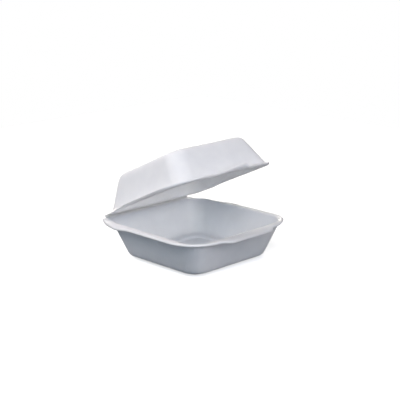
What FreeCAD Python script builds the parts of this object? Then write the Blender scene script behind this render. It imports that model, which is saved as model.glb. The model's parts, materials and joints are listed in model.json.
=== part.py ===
import FreeCAD, Part
import math
import os

# A hinged takeaway container pressed from one sheet of foam. Millimetres and degrees.
# The origin is the middle of the foot, on the table. +Z is up, the hinge lies along X at
# the back (+Y) and the opening faces the front (-Y).

# The sheet
sheet_thickness = 2.0

# The base tray: its foot, walls and rim
rim_height = 39.5
rim_half_width = 74.3
rim_front = 71.0
rim_corner_radius = 34.0
wall_half_width = 66.4
wall_front = 64.0
wall_back = 64.6
wall_corner_radius = 17.5
floor_half_width = 52.7
floor_front = 51.0
floor_back = 51.3
floor_corner_radius = 15.5
foot_inset = 6.5
foot_height = 2.4
floor_edge_radius = 6.0
rim_bend = 3.6

# The rear corners of both rims, which narrow towards the hinge and hang a little
rear_taper_length = 47.0
rear_hang_left = 3.2
rear_hang_right = 3.8
rear_hang_start = 53.0
rear_hang_full = 31.0
rear_hang_end = 5.0
rear_hang_width = 14.0
lid_hang = 2.2
lid_hang_power = 3.0

# The base rim's front right corner, which is bent up a little
corner_lift = 1.8
corner_lift_power = 2.0

# The pull tongue at the middle of the base's front rim
tongue_reach = 7.2
tongue_half_width = 26.0
tongue_shoulder = 13.0
tongue_droop = 0.4

# The hinge crease
hinge_back = 73.2
hinge_half_length = 62.9
hinge_end_radius = 3.0
crease_radius = 1.0
crease_rise = 0.5
crease_backing = 0.6
crease_end_gap = 4.0
crease_clearance = 0.3

# The lid, measured from the hinge line when it is shut
rim_gap = 0.3
lid_half_width = 72.0
lid_depth = 138.0
lid_height = 35.3
lid_top_rise = 1.5
lid_wall_half_width = 64.0
lid_wall_front = 6.4
lid_wall_back = 9.2
lid_wall_corner_radius = 17.0
lid_top_half_width = 52.1
lid_top_front = 18.4
lid_top_back = 23.2
lid_top_corner_radius = 16.5
lid_top_edge_radius = 11.0
lid_open_angle = 24.9

# The lid rim's left side, which is bent up more and more towards the front left corner
left_lift = 2.0
left_lift_full = -66.0
left_lift_end = -20.0

# The thumb edge at the lid's front: a ramp that rises to the right and ends in a step
thumb_lift = 5.2
thumb_left = -15.5
thumb_right = 19.5
thumb_end = 22.5
thumb_ramp_power = 0.8

# Where the rings of points lie that shape each bend, as shares of the bend's own size
foot_shares = (1.5, 1.0, 0.25)
floor_edge_share = 0.17
tray_wall_share = 0.5
lid_panel_share = 1.3
lid_edge_share = 0.125
lid_wall_share = 0.6
flange_shares = (0.45, 0.85, 1.0)

# How finely the outlines are divided
back_steps = 6
rear_steps = 12
hinge_end_steps = 3
side_steps = 8
corner_steps = 9
front_steps = 24


def ease(value):
    """Smooth step from 0 to 1."""
    held = min(max(value, 0.0), 1.0)
    return held * held * (3.0 - 2.0 * held)


def line_points(start, end, steps):
    """Points from start towards end, the end left out."""
    return [
        (start[0] + (end[0] - start[0]) * i / steps, start[1] + (end[1] - start[1]) * i / steps)
        for i in range(steps)
    ]


def arc_points(centre, radius, start_angle, end_angle, steps):
    """Points round an arc, the end left out. Angles in degrees."""
    points = []
    for i in range(steps):
        angle = math.radians(start_angle + (end_angle - start_angle) * i / steps)
        points.append((centre[0] + radius * math.cos(angle), centre[1] + radius * math.sin(angle)))
    return points


def mirrored(half):
    """Closes a right-hand half outline, from the back's middle to the front's, with its left half."""
    left = [(-x, y) for x, y in reversed(half[1:-1])]
    return half + left


def wall_outline(half_width, back, front, radius):
    """A square with rounded corners, as the walls have at any height."""
    radius = min(radius, half_width, (back - front) / 2.0)
    inner = half_width - radius
    half = line_points((0.0, back), (inner, back), back_steps)
    half += arc_points((inner, back - radius), radius, 90.0, 0.0, rear_steps)
    half += line_points((half_width, back - radius), (half_width, front + radius), side_steps)
    half += arc_points((inner, front + radius), radius, 0.0, -90.0, corner_steps)
    half += line_points((inner, front), (0.0, front), front_steps)
    half.append((0.0, front))
    return mirrored(half)


def rim_outline(half_width, back, front, reach):
    """A rim's edge: short hinge side, tapering rear corners, round front corners, a tongue."""
    taper = half_width - hinge_half_length
    big_radius = (taper ** 2 + rear_taper_length ** 2) / (2.0 * taper)
    start_angle = math.degrees(math.asin(rear_taper_length / big_radius))
    centre = (half_width - big_radius, back - rear_taper_length)
    inner = half_width - rim_corner_radius
    hinge_end = (hinge_half_length - hinge_end_radius, back)
    half = line_points((0.0, back), hinge_end, back_steps)
    half += line_points(hinge_end, (hinge_half_length, back), hinge_end_steps)
    half += arc_points(centre, big_radius, start_angle, 0.0, rear_steps - hinge_end_steps)
    half += line_points((half_width, centre[1]), (half_width, front + rim_corner_radius), side_steps)
    half += arc_points((inner, front + rim_corner_radius), rim_corner_radius, 0.0, -90.0, corner_steps)
    for i in range(front_steps + 1):
        x = inner * (1.0 - i / front_steps)
        out = reach * ease((tongue_half_width + tongue_shoulder - x) / tongue_shoulder)
        half.append((x, front - out))
    return mirrored(half)


def level(outline, height):
    """Puts an outline at one height."""
    return [FreeCAD.Vector(x, y, height) for x, y in outline]


def between(first, second, share):
    """The ring of points that lies part of the way from one ring to another."""
    return [a + (b - a) * share for a, b in zip(first, second)]


def shrunk(ring, distance):
    """A ring moved inwards in plan by a distance."""
    moved = []
    for i, point in enumerate(ring):
        along = ring[(i + 1) % len(ring)] - ring[i - 1]
        inward = FreeCAD.Vector(along.y, -along.x, 0.0).normalize()
        moved.append(point + inward * distance)
    return moved


def offset_rings(rings, distance):
    """Moves every point of a skin along the skin's own normal."""
    moved = []
    for j, ring in enumerate(rings):
        before = rings[max(j - 1, 0)]
        after = rings[min(j + 1, len(rings) - 1)]
        new_ring = []
        for i, point in enumerate(ring):
            around = ring[(i + 1) % len(ring)] - ring[i - 1]
            across = after[i] - before[i]
            new_ring.append(point + around.cross(across).normalize() * distance)
        moved.append(new_ring)
    return moved


def sheet_solid(outer_rings, distance):
    """A solid sheet from its outer skin's rings, listed from the middle panel out to the rim."""
    inner_rings = offset_rings(outer_rings, distance)
    rings = outer_rings + inner_rings[::-1]
    around = len(rings[0])
    across = len(rings)
    degree = 3
    spans = across - degree
    surface = Part.BSplineSurface()
    surface.buildFromPolesMultsKnots(
        [list(row) for row in zip(*rings)],
        [1] * (around + 1),
        [degree + 1] + [1] * (spans - 1) + [degree + 1],
        [float(i) for i in range(around + 1)],
        [float(i) for i in range(spans + 1)],
        True,
        False,
        degree,
        degree,
    )
    skin = surface.toShape()
    panels = [Part.Face(Part.Wire([surface.vIso(v).toShape()])) for v in (0.0, float(spans))]
    shell = Part.makeShell([skin] + panels)
    shell.sewShape()
    solid = Part.Solid(shell)
    if solid.Volume < 0.0:
        solid.reverse()
    return solid


def rear_hang_at(point, left, right):
    """How far a rim's edge hangs near its rear corners."""
    from_hinge = hinge_back - point.y
    rise = ease((rear_hang_start - from_hinge) / (rear_hang_start - rear_hang_full))
    aside = ease((abs(point.x) - hinge_half_length) / rear_hang_width + 1.0)
    most = right if point.x > 0.0 else left
    return most * rise * aside * ease(from_hinge / rear_hang_end)


def corner_lift_at(point):
    """How far the base rim's front right corner is bent up: most in the middle of its bend."""
    across = point.x - rim_half_width + rim_corner_radius
    along = rim_corner_radius - rim_front - point.y
    if across <= 0.0 or along <= 0.0:
        return 0.0
    return corner_lift * math.sin(2.0 * math.atan2(along, across)) ** 2


def left_lift_at(point):
    """How far the lid's rim is bent up on its left side and round the front left corner."""
    aside = ease((left_lift_end - point.x) / (left_lift_end - left_lift_full))
    return left_lift * aside * (hinge_back - point.y) / lid_depth


def thumb_lift_at(point):
    """How far the lid's front edge is lifted for a thumb."""
    ramp = min(max((point.x - thumb_left) / (thumb_right - thumb_left), 0.0), 1.0)
    fall = ease((thumb_end - point.x) / (thumb_end - thumb_right))
    near_front = ease((hinge_back - lid_depth + rim_corner_radius - point.y) / rim_corner_radius)
    return thumb_lift * ramp ** thumb_ramp_power * fall * near_front


def base_tray():
    """The bowl, its foot and flange, and the hinge crease at the back."""
    floor = wall_outline(floor_half_width, floor_back, -floor_front, floor_corner_radius)
    wall_top = wall_outline(wall_half_width, wall_back, -wall_front, wall_corner_radius)
    rim = rim_outline(rim_half_width, hinge_back + crease_backing, -rim_front, tongue_reach)
    flange_level = rim_height - sheet_thickness

    low = level(floor, 0.0)
    top = level(wall_top, flange_level)
    step = level(floor, foot_height)
    rings = [shrunk(low, foot_inset + foot_height * share) for share in foot_shares]
    rings += [
        shrunk(step, foot_inset),
        shrunk(step, floor_edge_radius / 2.0),
        between(low, top, (foot_height + floor_edge_radius * floor_edge_share) / flange_level),
        between(low, top, (foot_height + floor_edge_radius) / flange_level),
        between(low, top, tray_wall_share),
        between(low, top, 1.0 - rim_bend / flange_level),
        top,
    ]
    edge = level(rim, flange_level)
    for share in flange_shares:
        ring = between(top, edge, share)
        for point in ring:
            tongue = ease((-point.y - rim_front) / tongue_reach)
            point.z -= rear_hang_at(point, rear_hang_left, rear_hang_right) * share
            point.z += corner_lift_at(point) * share ** corner_lift_power - tongue_droop * tongue
        rings.append(ring)
    tray = sheet_solid(rings, sheet_thickness)

    length = 2.0 * (hinge_half_length - crease_end_gap)
    start = FreeCAD.Vector(-length / 2.0, hinge_back, rim_height + crease_rise)
    crease = Part.makeCylinder(crease_radius, length, start, FreeCAD.Vector(1.0, 0.0, 0.0))
    return tray.fuse(crease)


def lid():
    """The lid, modelled shut and then swung open about the hinge line."""
    axis_height = rim_height + crease_rise
    front = hinge_back - lid_depth
    back = hinge_back - crease_radius - crease_clearance
    flange_level = rim_height + rim_gap + sheet_thickness
    top_level = axis_height + lid_height

    top = wall_outline(
        lid_top_half_width, hinge_back - lid_top_back, front + lid_top_front, lid_top_corner_radius
    )
    wall_end = wall_outline(
        lid_wall_half_width, hinge_back - lid_wall_back, front + lid_wall_front, lid_wall_corner_radius
    )
    rim = rim_outline(lid_half_width, back, front, 0.0)

    high = level(top, top_level)
    low = level(wall_end, flange_level)
    drop = top_level - flange_level
    edge_point = lid_top_edge_radius * lid_edge_share
    rings = [
        shrunk(high, lid_top_edge_radius * lid_panel_share),
        shrunk(high, lid_top_edge_radius),
        shrunk(high, lid_top_edge_radius / 2.0),
        shrunk(between(high, low, edge_point / drop), edge_point),
        between(high, low, lid_top_edge_radius / 2.0 / drop),
        between(high, low, lid_top_edge_radius / drop),
        between(high, low, lid_wall_share),
        between(high, low, 1.0 - rim_bend / drop),
        low,
    ]
    for point in sum(rings, []):
        from_hinge = hinge_back - point.y
        point.z += lid_top_rise * from_hinge / lid_depth * (point.z - flange_level) / drop
    edge = level(rim, flange_level)
    for share in flange_shares:
        ring = between(low, edge, share)
        for point in ring:
            point.z += (thumb_lift_at(point) + left_lift_at(point)) * share
            point.z -= rear_hang_at(point, lid_hang, lid_hang) * share ** lid_hang_power
        rings.append(ring)
    cover = sheet_solid(rings, -sheet_thickness)
    pivot = FreeCAD.Vector(0.0, hinge_back, axis_height)
    cover.rotate(pivot, FreeCAD.Vector(1.0, 0.0, 0.0), -lid_open_angle)
    return cover


def main():
    os.makedirs("parts", exist_ok=True)
    base_tray().exportStep("parts/base_tray.step")
    lid().exportStep("parts/lid.step")


main()
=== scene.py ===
import json
import math

import bmesh
import bpy
from bpy.props import FloatProperty, FloatVectorProperty, IntProperty, PointerProperty
from mathutils import Matrix, Vector, noise


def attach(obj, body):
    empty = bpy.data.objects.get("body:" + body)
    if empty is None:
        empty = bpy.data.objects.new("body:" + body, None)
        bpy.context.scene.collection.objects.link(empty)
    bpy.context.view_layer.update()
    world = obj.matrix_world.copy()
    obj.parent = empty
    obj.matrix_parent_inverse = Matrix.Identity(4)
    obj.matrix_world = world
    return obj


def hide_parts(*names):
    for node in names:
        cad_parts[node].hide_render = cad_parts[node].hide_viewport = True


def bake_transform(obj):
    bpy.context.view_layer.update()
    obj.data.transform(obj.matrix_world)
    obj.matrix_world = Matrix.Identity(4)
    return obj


bl_info = {
    "name": "Foam Takeaway Container",
    "version": (1, 0, 0),
    "blender": (4, 5, 0),
    "location": "View3D > Sidebar > Container",
    "description": "Dresses the frame of a hinged foam takeaway container",
    "category": "Object",
}

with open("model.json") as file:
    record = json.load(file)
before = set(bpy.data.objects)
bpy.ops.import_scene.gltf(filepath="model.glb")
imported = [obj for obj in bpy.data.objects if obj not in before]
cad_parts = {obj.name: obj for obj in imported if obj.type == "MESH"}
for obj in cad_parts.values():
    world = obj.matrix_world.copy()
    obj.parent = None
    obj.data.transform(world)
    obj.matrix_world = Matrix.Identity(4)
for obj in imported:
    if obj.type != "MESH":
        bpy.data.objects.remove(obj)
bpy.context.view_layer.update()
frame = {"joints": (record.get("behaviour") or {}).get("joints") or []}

# The hinge line, and how far the lid stands open at rest
HINGE = next(joint for joint in frame["joints"] if joint["name"] == "lid_hinge")
PIVOT = Vector(HINGE["pos_m"])
OPEN_ANGLE = math.radians(-HINGE["range_deg"][0])

# How many steps each part of a loop round the container has
CORNER_STEPS = 10
LONG_STEPS = 44
SHORT_STEPS = 10
HINGE_END_STEPS = 3

# How often and how strongly a panel's grid is relaxed, how near its rim a point of it counts as
# on the rim, as a share of its size, and how often a piece's forms are rounded
RELAX_TIMES = 80
RELAX_FACTOR = 0.5
GRID_TOLERANCE = 0.001
ROUNDING_LEVELS = 2

# Where the loops lie that shape each bend, as shares of the bend's own size
FOOT_SHARES = (2.8, 1.8, 0.5)
FLOOR_EDGE_SHARE = 0.17
LID_PANEL_SHARE = 1.3
LID_EDGE_SHARE = 0.125
TRAY_WALL_SHARE = 0.5
LID_WALL_SHARE = 0.6
FLANGE_SHARES = (0.45, 0.85, 1.0)
CORNER_LIFT_POWER = 2.0
LID_HANG_POWER = 3.0
THUMB_RAMP_POWER = 0.8

# The hinge band: its ends in degrees round the hinge line, from +Y towards +Z, hidden in the
# two rims, its steps, its lengths along the hinge and its grooves
BAND_START = -100.0
BAND_END = 150.0
BAND_STEPS = 24
BAND_LENGTHS = 24
BAND_GROOVES = 5

# The foam's look: how much deeper its cells are where the sheet was cut, how fine its dimples and
# clouds are, where in the noise the clouds lie, and its skin
CUT_CELL_DEPTH = 4.0
DIMPLE_DETAIL = 3.0
CLOUD_DETAIL = 4.0
CLOUD_RANGE = (0.35, 0.65)
ROUGHNESS_SPREAD = 0.06
SKIN_IOR = 1.45

# The sockets of a mix node that mixes colours: those for numbers and vectors come first
COLOUR_MIX_INPUTS = (0, 6, 7)
COLOUR_MIX_OUTPUT = 2
WHITE = (1.0, 1.0, 1.0, 1.0)

# The camera's sensor in millimetres, and half the floor's side in metres
SENSOR_WIDTH = 36.0
FLOOR_HALF = 0.7

# The soft lamps: degrees round the container from its front towards its right, degrees above the
# table, and colour. Their distance and side are in metres.
LAMPS = {
    "front": (-56.0, 25.0, (0.58, 0.79, 1.0)),
    "high": (-45.0, 45.0, (1.0, 0.885, 0.84)),
    "right": (15.0, 20.0, (0.9, 0.91, 1.0)),
    "left": (-140.0, 45.0, (1.0, 0.93, 0.915)),
    "back": (150.0, 15.0, (1.0, 0.95, 0.85)),
}
LAMP_DISTANCE = 1.3
LAMP_SIDE = 0.7


def size(name, about, metres):
    """A length that a user can change."""
    return FloatProperty(
        name=name,
        description=about,
        default=metres,
        subtype="DISTANCE",
        unit="LENGTH",
        precision=4,
    )


def share(name, about, value):
    """A number from 0 to 1 that a user can change."""
    return FloatProperty(
        name=name, description=about, default=value, min=0.0, max=1.0, subtype="FACTOR"
    )


def colour(name, about, value):
    """A colour that a user can change."""
    return FloatVectorProperty(
        name=name, description=about, default=value, min=0.0, max=1.0, size=3, subtype="COLOR"
    )


def power(name, about, watts):
    """A lamp's power that a user can change."""
    return FloatProperty(name=name, description=about, default=watts, min=0.0, unit="POWER")


class RimSizes(bpy.types.PropertyGroup):
    """What the tray's rim and the lid's rim share."""

    thickness: size("Thickness", "Thickness of the foam sheet", 0.002)
    corner_radius: size("Corner radius", "Radius of the rims' front corners in plan", 0.034)
    taper_length: size("Taper length", "Length of the rims' narrowing towards the hinge", 0.047)
    hinge_half: size("Hinge half length", "Half the length of the rims' back edges", 0.0629)
    hinge_end: size("Hinge end", "How far the back edges' ends are rounded", 0.003)
    bend: size("Bend", "Height of the bend between a wall and its flange", 0.0036)
    hang_start: size("Hang start", "Distance from the hinge where a rim starts to hang", 0.053)
    hang_full: size("Hang full", "Distance from the hinge where a rim hangs most", 0.031)
    hang_end: size("Hang end", "Distance from the hinge where a rim is level again", 0.005)
    hang_width: size("Hang width", "Width of the hanging part beside the hinge", 0.014)
    wander: size("Wander", "How far the rims' edges stray from a true line", 0.00025)
    wander_length: size("Wander length", "Length over which the rims' edges stray", 0.03)
    wander_seed: IntProperty(
        name="Wander seed",
        description="Which of the patterns the edges stray in",
        default=7,
        min=1,
    )


class TraySizes(bpy.types.PropertyGroup):
    """The tray's walls, foot, rim and tongue."""

    rise: size("Crease rise", "Height of the hinge line over the rim", 0.0005)
    backing: size("Backing", "How far the rim's back edge passes the hinge line", 0.0006)
    rim_half: size("Rim half width", "Half the width over the rim", 0.0743)
    rim_front: size("Rim front", "Distance of the rim's front edge from the middle", 0.071)
    wall_half: size("Wall half width", "Half the width over the walls at the rim", 0.0664)
    wall_front: size("Wall front", "Distance of the front wall's top from the middle", 0.064)
    wall_back: size("Wall back", "Distance of the back wall's top from the middle", 0.0646)
    wall_radius: size("Wall radius", "Corner radius of the walls at the rim", 0.0175)
    floor_half: size("Floor half width", "Half the width of the walls' foot", 0.0527)
    floor_front: size("Floor front", "Distance of the front wall's foot from the middle", 0.051)
    floor_back: size("Floor back", "Distance of the back wall's foot from the middle", 0.0513)
    floor_radius: size("Floor radius", "Corner radius of the walls' foot", 0.0155)
    floor_edge: size("Floor edge", "Radius of the edge between floor and walls", 0.006)
    foot_inset: size("Foot inset", "How far the foot lies inside the walls", 0.0065)
    foot_height: size("Foot height", "Height of the foot", 0.0024)
    hang_left: size("Left hang", "How far the rim hangs near its left back corner", 0.0032)
    hang_right: size("Right hang", "How far the rim hangs near its right back corner", 0.0038)
    corner_lift: size("Corner lift", "How far the front right corner is bent up", 0.0018)
    tongue_reach: size("Tongue reach", "How far the tongue stands out", 0.0072)
    tongue_half: size("Tongue half width", "Half the tongue's width", 0.026)
    tongue_shoulder: size("Tongue shoulder", "Width of the tongue's shoulders", 0.013)
    tongue_droop: size("Tongue droop", "How far the tongue bends down", 0.0004)


class LidSizes(bpy.types.PropertyGroup):
    """The lid's walls, top, rim and lifted thumb edge."""

    gap: size("Rim gap", "Gap between the two rims when the lid is shut", 0.0003)
    back_gap: size("Back gap", "Gap between the hinge line and the lid's back edge", 0.0013)
    rim_half: size("Rim half width", "Half the width over the lid's rim", 0.072)
    depth: size("Depth", "Distance from the hinge line to the lid's front edge", 0.138)
    height: size("Height", "Height of the lid's top over the hinge line", 0.0353)
    top_rise: size(
        "Top rise", "How much higher the top is at the front than at the hinge", 0.0015
    )
    wall_half: size("Wall half width", "Half the width over the walls at the rim", 0.064)
    wall_front: size("Wall front", "Width of the front flange", 0.0064)
    wall_back: size("Wall back", "Distance of the back wall from the hinge line", 0.0092)
    wall_radius: size("Wall radius", "Corner radius of the walls at the rim", 0.017)
    top_half: size("Top half width", "Half the width of the top", 0.0521)
    top_front: size("Top front", "Distance of the top from the front edge", 0.0184)
    top_back: size("Top back", "Distance of the top from the hinge line", 0.0232)
    top_radius: size("Top radius", "Corner radius of the top", 0.0165)
    top_edge: size("Top edge", "Radius of the edge between top and walls", 0.011)
    hang: size("Hang", "How far the rim hangs near its back corners", 0.0022)
    left_lift: size("Left lift", "How far the left side is bent up at the front", 0.002)
    left_lift_full: size("Left lift full", "Where the left side is bent up in full", -0.066)
    left_lift_end: size("Left lift end", "Where the left side's bend ends", -0.02)
    thumb_lift: size("Thumb lift", "Height of the lifted thumb edge", 0.0052)
    thumb_left: size("Thumb left", "Where the thumb edge's ramp starts", -0.0155)
    thumb_right: size("Thumb right", "Where the ramp is at its full height", 0.0195)
    thumb_end: size("Thumb end", "Where the step after the ramp ends", 0.0225)


class CreaseSizes(bpy.types.PropertyGroup):
    """The pressed hinge crease between the rims."""

    outer: size("Outer radius", "Radius of the fold's outside", 0.0016)
    inner: size("Inner radius", "Radius of the fold's inside", 0.0005)
    half_length: size("Half length", "Half the crease's length", 0.0589)
    groove: size("Groove", "Depth of the pressed grooves", 0.00012)


class FoamFinish(bpy.types.PropertyGroup):
    """The look of the foam."""

    light: colour("Light foam", "Colour where the foam is dense", (0.93, 0.93, 0.935))
    dark: colour("Dark foam", "Colour where the foam is drawn thin", (0.895, 0.895, 0.905))
    skin: share("Skin roughness", "Roughness of the foam's pressed skin", 0.46)
    cell: size("Cell", "Width of a foam cell", 0.00045)
    cell_depth: size("Cell depth", "Depth of the dimples between cells", 0.00002)
    dimple: size("Dimple", "Width of the skin's soft dimples", 0.003)
    dimple_depth: size("Dimple depth", "Depth of the skin's soft dimples", 0.00005)
    cloud: size("Cloud", "Width of the cloudy patches in the foam", 0.014)
    glow: size("Glow", "How far light spreads inside the foam", 0.004)


class StageLook(bpy.types.PropertyGroup):
    """The floor, the lamps and the camera."""

    azimuth: FloatProperty(
        name="Azimuth",
        description="Direction that the camera looks from, round the object",
        default=math.radians(-44.87),
        subtype="ANGLE",
        unit="ROTATION",
    )
    elevation: FloatProperty(
        name="Elevation",
        description="How far the camera looks down",
        default=math.radians(16.94),
        subtype="ANGLE",
        unit="ROTATION",
    )
    distance: size("Distance", "Distance of the camera", 1.1014)
    target_height: size("Target height", "Height of the point that the camera looks at", 0.0198)
    lens: FloatProperty(
        name="Lens", description="Focal length in millimetres", default=97.08, min=1.0
    )
    shift_x: FloatProperty(
        name="Shift X", description="Sideways shift of the frame", default=0.0088
    )
    shift_y: FloatProperty(
        name="Shift Y", description="Upward shift of the frame", default=0.0945
    )
    front: power("Front lamp", "Power of the low lamp behind the camera", 5.2)
    high: power("High lamp", "Power of the high lamp behind the camera", 6.7)
    right: power("Right lamp", "Power of the lamp before the front wall", 5.1)
    left: power("Left lamp", "Power of the lamp at the back left", 7.8)
    back: power("Back lamp", "Power of the low lamp at the back right", 9.0)
    room: FloatProperty(
        name="Room", description="Strength of the room's own light", default=0.04, min=0.0
    )
    room_colour: colour("Room colour", "Colour of the room's own light", (0.5, 0.75, 1.0))
    bounce: colour("Floor bounce", "Colour that the floor throws back", (0.03, 0.033, 0.04))
    floor_white: colour("Floor white", "The floor's colour as it is seen", (1.0, 1.0, 1.0))
    floor_glow: share("Floor glow", "How much of its own white the floor shows", 0.6)


def smooth_step(value):
    """Eases from 0 to 1."""
    held = min(max(value, 0.0), 1.0)
    return held * held * (3.0 - 2.0 * held)


def arc(centre, radius, start, sweep, steps):
    """Points round an arc, its end left out. Angles in degrees."""
    angles = [math.radians(start + sweep * i / steps) for i in range(steps)]
    return [
        Vector((centre[0] + radius * math.cos(a), centre[1] + radius * math.sin(a)))
        for a in angles
    ]


def run(start, end, steps):
    """Points along a straight run, its end left out."""
    return [Vector(start).lerp(Vector(end), i / steps) for i in range(steps)]


def from_corner(points):
    """Turns a loop's list round, so that it starts at the middle of the front left corner."""
    half = CORNER_STEPS // 2
    return points[half:] + points[:half]


def wall_loop(half, front, back, radius):
    """A square with rounded corners, as the walls have at any height."""
    inner = half - radius
    low = front + radius
    high = back - radius
    points = arc((-inner, low), radius, 180.0, 90.0, CORNER_STEPS)
    points += run((-inner, front), (inner, front), LONG_STEPS)
    points += arc((inner, low), radius, 270.0, 90.0, CORNER_STEPS)
    points += run((half, low), (half, high), SHORT_STEPS)
    points += arc((inner, high), radius, 0.0, 90.0, CORNER_STEPS)
    points += run((inner, back), (-inner, back), LONG_STEPS)
    points += arc((-inner, high), radius, 90.0, 90.0, CORNER_STEPS)
    points += run((-half, high), (-half, low), SHORT_STEPS)
    return from_corner(points)


def rim_loop(rim, half, front, back):
    """A rim's edge: round front corners, and back corners that taper to the hinge."""
    inner = half - rim.corner_radius
    low = front + rim.corner_radius
    taper = half - rim.hinge_half
    taper_start = back - rim.taper_length
    big = (taper**2 + rim.taper_length**2) / (2.0 * taper)
    sweep = math.degrees(math.asin(rim.taper_length / big))
    last = rim.hinge_half - rim.hinge_end
    rear = arc((half - big, taper_start), big, 0.0, sweep, CORNER_STEPS - HINGE_END_STEPS)
    rear += run((rim.hinge_half, back), (last, back), HINGE_END_STEPS)
    rear_left = [Vector((-last, back))] + [Vector((-p.x, p.y)) for p in reversed(rear[1:])]
    points = arc((-inner, low), rim.corner_radius, 180.0, 90.0, CORNER_STEPS)
    points += run((-inner, front), (inner, front), LONG_STEPS)
    points += arc((inner, low), rim.corner_radius, 270.0, 90.0, CORNER_STEPS)
    points += run((half, low), (half, taper_start), SHORT_STEPS)
    points += rear
    points += run((last, back), (-last, back), LONG_STEPS)
    points += rear_left
    points += run((-half, taper_start), (-half, low), SHORT_STEPS)
    return from_corner(points)


def level(loop, height):
    """Puts a loop at one height."""
    return [Vector((p.x, p.y, height)) for p in loop]


def between(first, second, part):
    """The loop that lies part of the way from one loop to another."""
    return [a.lerp(b, part) for a, b in zip(first, second)]


def shrunk(loop, distance):
    """A loop moved inwards in plan."""
    moved = []
    for i, point in enumerate(loop):
        along = loop[(i + 1) % len(loop)] - loop[i - 1]
        moved.append(point + Vector((-along.y, along.x, 0.0)).normalized() * distance)
    return moved


def strayed(rim, loop, part):
    """A loop whose points stray a little in plan, as a trimmed foam edge does."""
    noise.seed_set(rim.wander_seed)
    strays = [noise.noise_vector(p / rim.wander_length) for p in loop]
    return [p + Vector((s.x, s.y, 0.0)) * rim.wander * part for p, s in zip(loop, strays)]


def tray_loops(rim, tray):
    """The tray's outer skin, from the edge of its floor panel out to the rim."""
    under = PIVOT.z - tray.rise - rim.thickness
    back = PIVOT.y + tray.backing
    floor = wall_loop(tray.floor_half, -tray.floor_front, tray.floor_back, tray.floor_radius)
    mouth = wall_loop(tray.wall_half, -tray.wall_front, tray.wall_back, tray.wall_radius)
    low = level(floor, 0.0)
    step = level(floor, tray.foot_height)
    top = level(mouth, under)
    edge = level(rim_loop(rim, tray.rim_half, -tray.rim_front, back), under)
    for point in edge:
        inner = (tray.tongue_half + tray.tongue_shoulder - abs(point.x)) / tray.tongue_shoulder
        if point.y < -tray.wall_front:
            point.y -= tray.tongue_reach * smooth_step(inner)
    loops = [shrunk(low, tray.foot_inset + tray.foot_height * part) for part in FOOT_SHARES]
    loops += [
        shrunk(step, tray.foot_inset),
        shrunk(step, tray.floor_edge / 2.0),
        between(low, top, (tray.foot_height + tray.floor_edge * FLOOR_EDGE_SHARE) / under),
        between(low, top, (tray.foot_height + tray.floor_edge) / under),
        between(low, top, TRAY_WALL_SHARE),
        between(low, top, 1.0 - rim.bend / under),
        top,
    ]
    for part in FLANGE_SHARES:
        loop = between(top, edge, part)
        for point in loop:
            tongue = smooth_step((-point.y - tray.rim_front) / tray.tongue_reach)
            hang = tray.hang_right if point.x > 0.0 else tray.hang_left
            point.z -= hang * hang_share(rim, point) * part + tray.tongue_droop * tongue
            point.z += tray.corner_lift * corner_share(rim, tray, point) * part**CORNER_LIFT_POWER
        loops.append(strayed(rim, loop, part))
    return loops


def hang_share(rim, point):
    """How much of its hang near the back corners a rim has at a point."""
    from_hinge = PIVOT.y - point.y
    rise = smooth_step((rim.hang_start - from_hinge) / (rim.hang_start - rim.hang_full))
    aside = smooth_step((abs(point.x) - rim.hinge_half) / rim.hang_width + 1.0)
    return rise * aside * smooth_step(from_hinge / rim.hang_end)


def corner_share(rim, tray, point):
    """How much of its lift the tray's front right corner has: all in the middle of its bend."""
    across = point.x - tray.rim_half + rim.corner_radius
    along = rim.corner_radius - tray.rim_front - point.y
    if across <= 0.0 or along <= 0.0:
        return 0.0
    return math.sin(2.0 * math.atan2(along, across)) ** 2


def lid_loops(rim, lid, rise):
    """The shut lid's outer skin, from the edge of its top panel out to the rim."""
    front = PIVOT.y - lid.depth
    over = PIVOT.z - rise + lid.gap + rim.thickness
    high_level = PIVOT.z + lid.height
    top = wall_loop(lid.top_half, front + lid.top_front, PIVOT.y - lid.top_back, lid.top_radius)
    mouth = wall_loop(
        lid.wall_half, front + lid.wall_front, PIVOT.y - lid.wall_back, lid.wall_radius
    )
    high = level(top, high_level)
    low = level(mouth, over)
    edge = level(rim_loop(rim, lid.rim_half, front, PIVOT.y - lid.back_gap), over)
    drop = high_level - over
    point_in = lid.top_edge * LID_EDGE_SHARE
    loops = [
        shrunk(high, lid.top_edge * LID_PANEL_SHARE),
        shrunk(high, lid.top_edge),
        shrunk(high, lid.top_edge / 2.0),
        shrunk(between(high, low, point_in / drop), point_in),
        between(high, low, lid.top_edge / 2.0 / drop),
        between(high, low, lid.top_edge / drop),
        between(high, low, LID_WALL_SHARE),
        between(high, low, 1.0 - rim.bend / drop),
        low,
    ]
    for point in sum(loops, []):
        from_hinge = PIVOT.y - point.y
        point.z += lid.top_rise * from_hinge / lid.depth * (point.z - over) / drop
    for part in FLANGE_SHARES:
        loop = between(low, edge, part)
        for point in loop:
            point.z += (thumb_lift_at(rim, lid, point) + left_lift_at(lid, point)) * part
            point.z -= lid.hang * hang_share(rim, point) * part**LID_HANG_POWER
        loops.append(strayed(rim, loop, part))
    return loops


def left_lift_at(lid, point):
    """How far the lid's rim is bent up on its left side and round the front left corner."""
    aside = smooth_step((lid.left_lift_end - point.x) / (lid.left_lift_end - lid.left_lift_full))
    return lid.left_lift * aside * (PIVOT.y - point.y) / lid.depth


def thumb_lift_at(rim, lid, point):
    """How far the lid's front edge is lifted for a thumb: a ramp that ends in a step."""
    ramp = min(max((point.x - lid.thumb_left) / (lid.thumb_right - lid.thumb_left), 0.0), 1.0)
    fall = smooth_step((lid.thumb_end - point.x) / (lid.thumb_end - lid.thumb_right))
    from_front = point.y - PIVOT.y + lid.depth
    near_front = smooth_step(1.0 - from_front / rim.corner_radius)
    return lid.thumb_lift * ramp**THUMB_RAMP_POWER * fall * near_front


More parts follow.
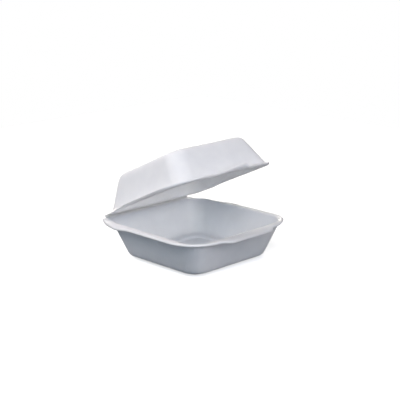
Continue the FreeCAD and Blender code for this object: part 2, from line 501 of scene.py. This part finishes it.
def grid_rim(bm):
    """The outer points of a flat grid, in order from its front left corner."""
    wide = max(v.co.x for v in bm.verts)
    deep = max(v.co.y for v in bm.verts)
    close = min(wide, deep) * GRID_TOLERANCE
    front = [v for v in bm.verts if v.co.y < close - deep]
    right = [v for v in bm.verts if v.co.x > wide - close]
    back = [v for v in bm.verts if v.co.y > deep - close]
    left = [v for v in bm.verts if v.co.x < close - wide]
    front.sort(key=lambda v: v.co.x)
    right.sort(key=lambda v: v.co.y)
    back.sort(key=lambda v: -v.co.x)
    left.sort(key=lambda v: -v.co.y)
    return front[:-1] + right[:-1] + back[:-1] + left[:-1]


def grow(bm, ring, places):
    """Extrudes an outline and puts its new points at their places."""
    edges = [bm.edges.get((a, b)) for a, b in zip(ring, ring[1:] + ring[:1])]
    made = bmesh.ops.extrude_edge_only(bm, edges=edges)["geom"]
    fresh = {g for g in made if isinstance(g, bmesh.types.BMVert)}
    grown = []
    for vert in ring:
        partner = next(e.other_vert(vert) for e in vert.link_edges if e.other_vert(vert) in fresh)
        grown.append(partner)
    for vert, place in zip(grown, places):
        vert.co = place
    return grown


def pressed_sheet(loops, thickness):
    """A pressed sheet: a flat panel grown loop by loop out to its rim, then thickened."""
    bm = bmesh.new()
    cut = bm.verts.layers.float.new("cut_edge")
    reach = max(p.x for p in loops[0])
    bmesh.ops.create_grid(
        bm,
        x_segments=LONG_STEPS + CORNER_STEPS,
        y_segments=SHORT_STEPS + CORNER_STEPS,
        size=reach,
    )
    ring = grid_rim(bm)
    outline = set(ring)
    inside = [v for v in bm.verts if v not in outline]
    centre = sum(loops[0], Vector()) / len(loops[0])
    bmesh.ops.translate(bm, verts=bm.verts, vec=centre)
    for vert, place in zip(ring, loops[0]):
        vert.co = place
    for _ in range(RELAX_TIMES):
        bmesh.ops.smooth_vert(
            bm,
            verts=inside,
            factor=RELAX_FACTOR,
            use_axis_x=True,
            use_axis_y=True,
            use_axis_z=True,
        )
    for places in loops[1:]:
        ring = grow(bm, ring, places)
    for vert in ring:
        vert[cut] = 1.0
    bmesh.ops.solidify(bm, geom=bm.faces[:], thickness=thickness)
    bmesh.ops.recalc_face_normals(bm, faces=bm.faces[:])
    return bm


def finished(bm, name):
    """Makes a foam piece of a mesh, with its forms rounded."""
    mesh = bpy.data.meshes.new(name)
    for face in bm.faces:
        face.smooth = True
    bm.to_mesh(mesh)
    bm.free()
    piece = bpy.data.objects.new(name, mesh)
    bpy.context.scene.collection.objects.link(piece)
    piece.data.materials.append(foam_material())
    rounding = piece.modifiers.new("rounding", "SUBSURF")
    rounding.levels = ROUNDING_LEVELS
    rounding.render_levels = ROUNDING_LEVELS
    return piece


class ShaderTree:
    """Adds nodes to a material or world and links them by name."""

    def __init__(self, tree):
        self.nodes = tree.nodes
        self.links = tree.links
        self.nodes.clear()

    def add(self, kind, inputs=None, **settings):
        """Adds a node. An input is a value, or the output of another node."""
        node = self.nodes.new(kind)
        for name, value in settings.items():
            setattr(node, name, value)
        for name, value in (inputs or {}).items():
            if isinstance(value, bpy.types.NodeSocket):
                self.links.new(value, node.inputs[name])
            else:
                node.inputs[name].default_value = value
        return node

    def mixed(self, factor, first, second):
        """Mixes two colours by a factor."""
        mix = self.add("ShaderNodeMix", data_type="RGBA")
        sockets = (mix.inputs[index] for index in COLOUR_MIX_INPUTS)
        for socket, value in zip(sockets, (factor, first, second)):
            if isinstance(value, bpy.types.NodeSocket):
                self.links.new(value, socket)
            else:
                socket.default_value = value
        return mix.outputs[COLOUR_MIX_OUTPUT]

    def white_rays(self):
        """1 on the rays that show the background: those of the camera, of gloss and of glass."""
        path = self.add("ShaderNodeLightPath").outputs
        gloss = self.add(
            "ShaderNodeMath",
            {0: path["Is Camera Ray"], 1: path["Is Glossy Ray"]},
            operation="MAXIMUM",
        )
        glass = self.add(
            "ShaderNodeMath",
            {0: gloss.outputs[0], 1: path["Is Transmission Ray"]},
            operation="MAXIMUM",
        )
        return glass.outputs[0]


def foam_material():
    """White pressed foam: a satin skin, fine cells, soft clouds and deeper cells at a cut."""
    name = "pressed_foam"
    if name in bpy.data.materials:
        return bpy.data.materials[name]
    finish = bpy.context.scene.container_finish
    material = bpy.data.materials.new(name)
    material.use_nodes = True
    tree = ShaderTree(material.node_tree)
    place = tree.add("ShaderNodeTexCoord").outputs["Object"]
    cut = tree.add("ShaderNodeAttribute", attribute_name="cut_edge").outputs["Fac"]
    cells = tree.add(
        "ShaderNodeTexVoronoi", {"Vector": place, "Scale": 1.0 / finish.cell}, feature="SMOOTH_F1"
    ).outputs["Distance"]
    dimples = tree.add(
        "ShaderNodeTexNoise",
        {"Vector": place, "Scale": 1.0 / finish.dimple, "Detail": DIMPLE_DETAIL},
    ).outputs["Fac"]
    clouds = tree.add(
        "ShaderNodeTexNoise",
        {"Vector": place, "Scale": 1.0 / finish.cloud, "Detail": CLOUD_DETAIL},
    ).outputs["Fac"]
    cloud_share = tree.add(
        "ShaderNodeMapRange",
        {"Value": clouds, "From Min": CLOUD_RANGE[0], "From Max": CLOUD_RANGE[1]},
    ).outputs["Result"]
    base = tree.mixed(cloud_share, (*finish.dark, 1.0), (*finish.light, 1.0))
    skin_bump = tree.add(
        "ShaderNodeBump", {"Strength": 1.0, "Distance": finish.dimple_depth, "Height": dimples}
    ).outputs["Normal"]
    cell_depth = tree.add(
        "ShaderNodeMapRange",
        {"Value": cut, "To Min": finish.cell_depth, "To Max": finish.cell_depth * CUT_CELL_DEPTH},
    ).outputs["Result"]
    cell_bump = tree.add(
        "ShaderNodeBump",
        {"Strength": 1.0, "Distance": cell_depth, "Height": cells, "Normal": skin_bump},
    ).outputs["Normal"]
    roughness = tree.add(
        "ShaderNodeMapRange",
        {
            "Value": clouds,
            "To Min": finish.skin - ROUGHNESS_SPREAD,
            "To Max": finish.skin + ROUGHNESS_SPREAD,
        },
    ).outputs["Result"]
    shader = tree.add(
        "ShaderNodeBsdfPrincipled",
        {
            "Base Color": base,
            "Roughness": roughness,
            "Normal": cell_bump,
            "IOR": SKIN_IOR,
            "Subsurface Weight": 1.0,
            "Subsurface Radius": (1.0, 1.0, 1.0),
            "Subsurface Scale": finish.glow,
        },
    )
    tree.add("ShaderNodeOutputMaterial", {"Surface": shader.outputs["BSDF"]})
    return material


def hinge_band(crease):
    """The fold between the rims: a curved band round the hinge line, grooved and closed."""
    start = math.radians(BAND_START)
    sweep = math.radians(BAND_END - BAND_START)
    bm = bmesh.new()
    first = Vector((-crease.half_length, math.cos(start), math.sin(start)))
    corners = []
    for radius in (crease.inner, crease.outer):
        corners.append(bm.verts.new((first.x, first.y * radius, first.z * radius)))
    edge = bm.edges.new(corners)
    bmesh.ops.spin(
        bm, geom=[*corners, edge], cent=(0.0, 0.0, 0.0), axis=(1.0, 0.0, 0.0),
        angle=sweep, steps=BAND_STEPS,
    )
    outer = [v for v in bm.verts if v.co.yz.length > (crease.inner + crease.outer) / 2.0]
    for vert in outer:
        turned = (math.atan2(vert.co.z, vert.co.y) - start) % math.tau
        depth = crease.groove * (1.0 - math.cos(turned / sweep * math.tau * BAND_GROOVES)) / 2.0
        vert.co.yz = vert.co.yz * (1.0 - depth / crease.outer)
    faces = bm.faces[:]
    step = 2.0 * crease.half_length / BAND_LENGTHS
    for length in range(BAND_LENGTHS):
        made = bmesh.ops.extrude_face_region(bm, geom=faces)["geom"]
        # The faces between two lengths would be left inside the band
        if length > 0:
            bmesh.ops.delete(bm, geom=faces, context="FACES")
        faces = [g for g in made if isinstance(g, bmesh.types.BMFace)]
        moved = [g for g in made if isinstance(g, bmesh.types.BMVert)]
        bmesh.ops.translate(bm, verts=moved, vec=(step, 0.0, 0.0))
    bmesh.ops.translate(bm, verts=bm.verts, vec=PIVOT)
    bmesh.ops.recalc_face_normals(bm, faces=bm.faces[:])
    return bm


class CONTAINER_OT_tray(bpy.types.Operator):
    """Builds the tray's pressed shell"""

    bl_idname = "container.tray"
    bl_label = "Tray"

    def execute(self, context):
        scene = context.scene
        rim = scene.container_rim
        bm = pressed_sheet(tray_loops(rim, scene.container_tray), -rim.thickness)
        tray = finished(bm, "tray_shell")
        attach(tray, "base")
        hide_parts("base_tray")
        return {"FINISHED"}


class CONTAINER_OT_lid(bpy.types.Operator):
    """Builds the lid's pressed shell and swings it open"""

    bl_idname = "container.lid"
    bl_label = "Lid"

    def execute(self, context):
        scene = context.scene
        rim = scene.container_rim
        loops = lid_loops(rim, scene.container_lid, scene.container_tray.rise)
        bm = pressed_sheet(loops, rim.thickness)
        turn = Matrix.Rotation(-OPEN_ANGLE, 3, "X")
        bmesh.ops.rotate(bm, cent=PIVOT, matrix=turn, verts=bm.verts)
        lid = finished(bm, "lid_shell")
        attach(lid, "lid")
        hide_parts("lid")
        return {"FINISHED"}


class CONTAINER_OT_crease(bpy.types.Operator):
    """Builds the folded hinge crease that joins the two shells"""

    bl_idname = "container.crease"
    bl_label = "Hinge crease"

    def execute(self, context):
        crease = context.scene.container_crease
        band = finished(hinge_band(crease), "hinge_crease")
        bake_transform(band)
        return {"FINISHED"}


def floor_material(look):
    """A pale floor: white where it is seen, darker where it lights the object."""
    material = bpy.data.materials.new("studio_floor")
    material.use_nodes = True
    tree = ShaderTree(material.node_tree)
    camera_ray = tree.add("ShaderNodeLightPath").outputs["Is Camera Ray"]
    glow = tree.add(
        "ShaderNodeMath", {0: camera_ray, 1: look.floor_glow}, operation="MULTIPLY"
    ).outputs[0]
    seen = tree.add(
        "ShaderNodeAddShader",
        {
            0: tree.add("ShaderNodeBsdfDiffuse", {"Color": (*look.floor_white, 1.0)}).outputs[0],
            1: tree.add(
                "ShaderNodeEmission", {"Color": WHITE, "Strength": glow}
            ).outputs[0],
        },
    )
    unseen = tree.add("ShaderNodeBsdfDiffuse", {"Color": (*look.bounce, 1.0)})
    mix = tree.add(
        "ShaderNodeMixShader",
        {0: tree.white_rays(), 1: unseen.outputs[0], 2: seen.outputs[0]},
    )
    tree.add("ShaderNodeOutputMaterial", {"Surface": mix.outputs[0]})
    return material


def light_room(look):
    """A white room to look at, with a weaker, cooler light of its own."""
    world = bpy.data.worlds.new("studio_room")
    world.use_nodes = True
    bpy.context.scene.world = world
    tree = ShaderTree(world.node_tree)
    light = tree.add(
        "ShaderNodeBackground", {"Color": (*look.room_colour, 1.0), "Strength": look.room}
    )
    white = tree.add("ShaderNodeBackground", {"Color": WHITE, "Strength": 1.0})
    mix = tree.add(
        "ShaderNodeMixShader",
        {0: tree.white_rays(), 1: light.outputs[0], 2: white.outputs[0]},
    )
    tree.add("ShaderNodeOutputWorld", {"Surface": mix.outputs[0]})


def outwards(azimuth, elevation):
    """The direction from the container towards a camera or lamp. Angles in radians."""
    flat = math.cos(elevation)
    return Vector((math.sin(azimuth) * flat, -math.cos(azimuth) * flat, math.sin(elevation)))


def add_lamp(name, watts):
    """A square soft lamp that faces the container."""
    azimuth, elevation, tint = LAMPS[name]
    data = bpy.data.lights.new(name, "AREA")
    data.shape = "SQUARE"
    data.size = LAMP_SIDE
    data.energy = watts
    data.color = tint
    lamp = bpy.data.objects.new(name, data)
    towards = outwards(math.radians(azimuth), math.radians(elevation))
    lamp.location = towards * LAMP_DISTANCE
    lamp.rotation_euler = towards.to_track_quat("Z", "Y").to_euler()
    bpy.context.scene.collection.objects.link(lamp)


def add_camera(look):
    """The camera, at the photograph's angle."""
    data = bpy.data.cameras.new("camera")
    data.lens = look.lens
    data.sensor_width = SENSOR_WIDTH
    data.shift_x = look.shift_x
    data.shift_y = look.shift_y
    camera = bpy.data.objects.new("camera", data)
    back = outwards(look.azimuth, look.elevation)
    camera.location = back * look.distance + Vector((0.0, 0.0, look.target_height))
    camera.rotation_euler = back.to_track_quat("Z", "Y").to_euler()
    bpy.context.scene.collection.objects.link(camera)
    bpy.context.scene.camera = camera


class CONTAINER_OT_stage(bpy.types.Operator):
    """Adds the floor, the lamps, the room's light and the camera"""

    bl_idname = "container.stage"
    bl_label = "Stage"

    def execute(self, context):
        look = context.scene.container_stage
        bm = bmesh.new()
        bmesh.ops.create_grid(bm, x_segments=1, y_segments=1, size=FLOOR_HALF)
        mesh = bpy.data.meshes.new("floor")
        bm.to_mesh(mesh)
        bm.free()
        floor = bpy.data.objects.new("floor", mesh)
        floor.data.materials.append(floor_material(look))
        context.scene.collection.objects.link(floor)
        for name in LAMPS:
            add_lamp(name, getattr(look, name))
        light_room(look)
        add_camera(look)
        context.scene.view_settings.view_transform = "Standard"
        return {"FINISHED"}


class CONTAINER_PT_panel(bpy.types.Panel):
    """Lists the container's pieces and their sizes in the 3D view's sidebar"""

    bl_idname = "CONTAINER_PT_panel"
    bl_label = "Foam container"
    bl_space_type = "VIEW_3D"
    bl_region_type = "UI"
    bl_category = "Container"

    def draw(self, context):
        for operator in OPERATORS:
            self.layout.operator(operator.bl_idname)
        for name in GROUPS:
            box = self.layout.box()
            group = getattr(context.scene, name)
            for prop in group.bl_rna.properties:
                if prop.identifier not in {"rna_type", "name"}:
                    box.prop(group, prop.identifier)


GROUPS = {
    "container_rim": RimSizes,
    "container_tray": TraySizes,
    "container_lid": LidSizes,
    "container_crease": CreaseSizes,
    "container_finish": FoamFinish,
    "container_stage": StageLook,
}
OPERATORS = (CONTAINER_OT_tray, CONTAINER_OT_lid, CONTAINER_OT_crease, CONTAINER_OT_stage)
CLASSES = (*GROUPS.values(), *OPERATORS, CONTAINER_PT_panel)


def register():
    for cls in CLASSES:
        bpy.utils.register_class(cls)
    for name, group in GROUPS.items():
        setattr(bpy.types.Scene, name, PointerProperty(type=group))


def unregister():
    for name in GROUPS:
        delattr(bpy.types.Scene, name)
    for cls in reversed(CLASSES):
        bpy.utils.unregister_class(cls)


def main():
    """Builds every piece and the stage."""
    register()
    bpy.ops.container.tray()
    bpy.ops.container.lid()
    bpy.ops.container.crease()
    bpy.ops.container.stage()


if __name__ == "__main__":
    main()
